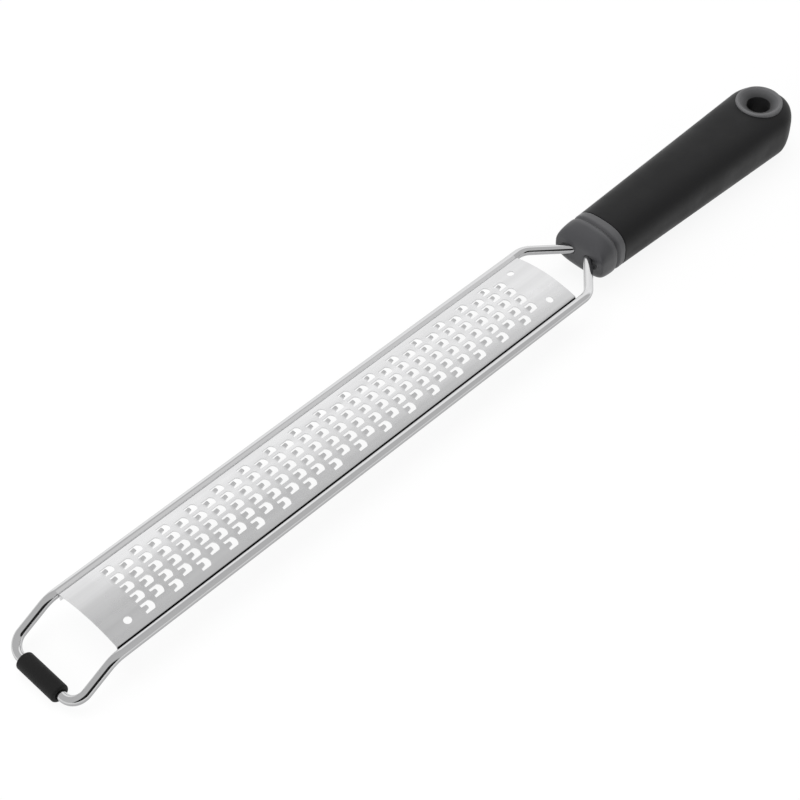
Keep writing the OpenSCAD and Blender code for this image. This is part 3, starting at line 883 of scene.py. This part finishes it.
outline = []
for level, side in ((RING_BOTTOM, 1), (RING_TOP, -1)):
    rim = quarter(RING_R - RIM_ROUND, 0, RIM_ROUND, 0)
    rim += quarter(MOUTH_R + RIM_ROUND, 0, RIM_ROUND, 90)[1:-2]
    half = [(x, level + side * (RIM_ROUND - y)) for x, y in rim]
    half += [(mix(MOUTH_R, EYE_R, t),
              level + side * mix(RIM_ROUND / 2, FUNNEL_H, t ** FUNNEL_CURVE))
             for t in FUNNEL_STEPS]
    outline += half if side == 1 else half[::-1]
eye = turned("eye_ring", outline, (EYE_X, 0, 0), (0, 0, 1), steps=144)
finished(eye, core_plastic, "handle_core", sharp=50)

# Grip: soft near-black elastomer, moulded over the core. It swells from the collar to
# the eye, its belly drops to the surface that the grater lies on, and its end is round.
GRIP_W = 14.5 * MM
GRIP_TOP = 10.2 * MM
GRIP_FULLNESS = 3.3
END_WALL = 3.1 * MM
END_LEN = RING_R + END_WALL
END_TOP_POWER = 0.25
END_BELLY_POWER = 3.4
LIP_ROUND = 0.35 * MM
LIP_TURNS = range(90, -1, -15)
GRIP_STEPS = 90
END_TURNS = range(3, 85, 3)
GRIP_SIDES = 192
MOULD_GAP = 0.05 * MM
PAST = 5 * MM


def grip_ring(along, sunk=0.0):
    return oval(GRIP_X + GRIP_LEN * along, mix(COLLAR_W, GRIP_W, along) - sunk,
                mix(COLLAR_TOP, GRIP_TOP, along) - sunk, mix(COLLAR_BELLY, RAIL_Z, along) - sunk,
                mix(FULLNESS, GRIP_FULLNESS, along), GRIP_SIDES)


def end_ring(turn):
    a = math.radians(turn)
    return oval(EYE_X + END_LEN * math.sin(a), GRIP_W * math.cos(a),
                GRIP_TOP * math.cos(a) ** END_TOP_POWER, RAIL_Z * math.cos(a) ** END_BELLY_POWER,
                GRIP_FULLNESS, GRIP_SIDES)


rings = [grip_ring(LIP_ROUND * (1 - math.sin(math.radians(a))) / GRIP_LEN,
                   LIP_ROUND * (1 - math.cos(math.radians(a)))) for a in LIP_TURNS]
rings += [grip_ring(k / GRIP_STEPS) for k in range(1, GRIP_STEPS + 1)]
rings += [end_ring(turn) for turn in END_TURNS]
grip = lofted("grip", rings)
hole_outline = [(0.0, -PAST), (RING_R + MOULD_GAP, -PAST), (RING_R + MOULD_GAP, RING_TOP + PAST),
                (0.0, RING_TOP + PAST)]
cut_away(grip, turned("hole", hole_outline, (EYE_X, 0, 0), (0, 0, 1)))
grip_rubber = moulded(
    "grip rubber", dark=(0.004, 0.004, 0.0044), light=(0.007, 0.007, 0.0074),
    roughness=(0.44, 0.54), fineness=1800.0, bump=0.3,
    Specular_IOR_Level=0.2, Sheen_Weight=0.1, Sheen_Roughness=0.3)
finished(grip, grip_rubber, "grip_sleeve", sharp=50)

# Studio: a white floor that keeps a soft shadow, one large softbox overhead, a fill, and
# a dome that only reflections see, with the dark side of the room behind the camera.
FLOOR_HALF = 4.0
FLOOR_TONE = (0.8, 0.8, 0.8, 1)
FLOOR_SEEN = 0.9
FLOOR_MIRRORED = 0.8
DOME_R = 4.0
BRIGHT_SIDE = (0.88, 0.47, 0)
ROOM_TONES = ((-1.0, 0.54), (0.3, 0.53), (0.43, 0.49), (0.48, 0.56), (0.54, 0.8), (0.6, 0.96),
              (0.66, 0.98), (0.75, 0.91), (0.9, 0.85))
DARK_SIDE = (-0.6, -0.8, 0)
DARK_START, DARK_END = 0.68, 0.79
LIT_LEVEL, DARK_LEVEL = 1.25, 0.03
SKY_LIGHT, SKY_SEEN = 0.6, 1.0


def stage_material(name):
    made = bpy.data.materials.new(name)
    made.use_nodes = True
    made.node_tree.nodes.clear()
    return made, made.node_tree, made.node_tree.nodes.new("ShaderNodeOutputMaterial")


paper, tree, output = stage_material("floor paper")
shade = add(tree, "ShaderNodeBsdfDiffuse", {"Color": FLOOR_TONE})
glow = add(tree, "ShaderNodeEmission", {"Color": (1, 1, 1, 1), "Strength": 1.0})
ray = add(tree, "ShaderNodeLightPath")
seen = add(tree, "ShaderNodeMath", {
    0: ray.outputs["Is Camera Ray"], 1: FLOOR_SEEN}, operation="MULTIPLY")
mirrored = add(tree, "ShaderNodeMath", {
    0: ray.outputs["Is Glossy Ray"], 1: FLOOR_MIRRORED}, operation="MULTIPLY")
seen = add(tree, "ShaderNodeMath", {
    0: seen.outputs[0], 1: mirrored.outputs[0]}, operation="MAXIMUM")
both = add(tree, "ShaderNodeMixShader", {
    0: seen.outputs[0], 1: shade.outputs[0], 2: glow.outputs[0]})
tree.links.new(both.outputs[0], output.inputs["Surface"])
corners = [(x * FLOOR_HALF, y * FLOOR_HALF, 0) for x, y in ((-1, -1), (1, -1), (1, 1), (-1, 1))]
floor = new_piece("floor", plain_mesh("floor", corners, [], [[0, 1, 2, 3]]))
floor.data.materials.append(paper)

room_glow, tree, output = stage_material("reflected room")
direction = add(tree, "ShaderNodeVectorMath", {0: place_of(tree)}, operation="NORMALIZE")
bright = add(tree, "ShaderNodeVectorMath", {
    0: direction.outputs[0], 1: Vector(BRIGHT_SIDE).normalized()}, operation="DOT_PRODUCT")
share = add(tree, "ShaderNodeMapRange", {
    "Value": bright.outputs["Value"], "From Min": -1.0, "From Max": 1.0})
stops = [((turn + 1) / 2, value) for turn, value in ROOM_TONES]
room_tone = grey_ramp(tree, share.outputs[0], stops)
dark = add(tree, "ShaderNodeVectorMath", {
    0: direction.outputs[0], 1: Vector(DARK_SIDE).normalized()}, operation="DOT_PRODUCT")
dark = add(tree, "ShaderNodeMapRange", {
    "Value": dark.outputs["Value"], "From Min": DARK_START, "From Max": DARK_END,
    "To Min": LIT_LEVEL, "To Max": DARK_LEVEL}, interpolation_type="SMOOTHSTEP")
level = add(tree, "ShaderNodeMath", {0: room_tone, 1: dark.outputs[0]}, operation="MULTIPLY")
glow = add(tree, "ShaderNodeEmission", {"Strength": level.outputs[0]})
tree.links.new(glow.outputs[0], output.inputs["Surface"])
work = bmesh.new()
bmesh.ops.create_uvsphere(work, u_segments=48, v_segments=24, radius=DOME_R)
dome_mesh = bpy.data.meshes.new("room")
work.to_mesh(dome_mesh)
work.free()
room = new_piece("room", dome_mesh)
room.data.materials.append(room_glow)
for ray_kind in ("camera", "diffuse", "transmission", "shadow", "volume_scatter"):
    setattr(room, "visible_" + ray_kind, False)


def softbox(name, place, size, power):
    """A round lamp that shines on the part and that no reflection shows."""
    lamp = bpy.data.lights.new(name, "AREA")
    lamp.shape = "DISK"
    lamp.size = size
    lamp.energy = power
    made = bpy.data.objects.new(name, lamp)
    bpy.context.scene.collection.objects.link(made)
    made.location = place
    made.visible_glossy = False
    made.rotation_euler = (-Vector(place)).to_track_quat("-Z", "Y").to_euler()


softbox("overhead", place=(0.1, 0.5, 1.5), size=1.6, power=19)
softbox("fill", place=(-1.3, -0.1, 0.4), size=1.2, power=14)

world = bpy.data.worlds.new("studio")
bpy.context.scene.world = world
world.use_nodes = True
tree = world.node_tree
tree.nodes.clear()
output = tree.nodes.new("ShaderNodeOutputWorld")
ray = add(tree, "ShaderNodeLightPath")
seen = add(tree, "ShaderNodeMath", {
    0: ray.outputs["Is Camera Ray"], 1: ray.outputs["Is Glossy Ray"]}, operation="MAXIMUM")
seen = add(tree, "ShaderNodeMath", {
    0: seen.outputs[0], 1: ray.outputs["Is Transmission Ray"]}, operation="MAXIMUM")
strength = add(tree, "ShaderNodeMapRange", {
    "Value": seen.outputs[0], "To Min": SKY_LIGHT, "To Max": SKY_SEEN})
sky = add(tree, "ShaderNodeBackground", {"Color": (1, 1, 1, 1), "Strength": strength.outputs[0]})
tree.links.new(sky.outputs[0], output.inputs["Surface"])

# Camera: at the photograph's place, with its lens, looking down the grater from the nose.
EYE_OFFSET = Vector((-162.3, -331.1, 521.9)) * MM
RIGHT = Vector((0.705, -0.709, -0.011))
DOWN = Vector((-0.532, -0.519, -0.669))
LENS = 87.05
SENSOR = 36
NEAREST, FARTHEST = 0.01, 50

lens = bpy.data.cameras.new("camera")
lens.lens = LENS
lens.sensor_width = SENSOR
lens.clip_start, lens.clip_end = NEAREST, FARTHEST
camera = bpy.data.objects.new("camera", lens)
bpy.context.scene.collection.objects.link(camera)
right = RIGHT.normalized()
up = (-DOWN - right * (-DOWN).dot(right)).normalized()
back = right.cross(up)
camera.matrix_world = Matrix((
    (right.x, up.x, back.x, BAR_X + EYE_OFFSET.x), (right.y, up.y, back.y, EYE_OFFSET.y),
    (right.z, up.z, back.z, EYE_OFFSET.z), (0, 0, 0, 1)))
bpy.context.scene.camera = camera
bpy.context.scene.view_settings.view_transform = "Standard"
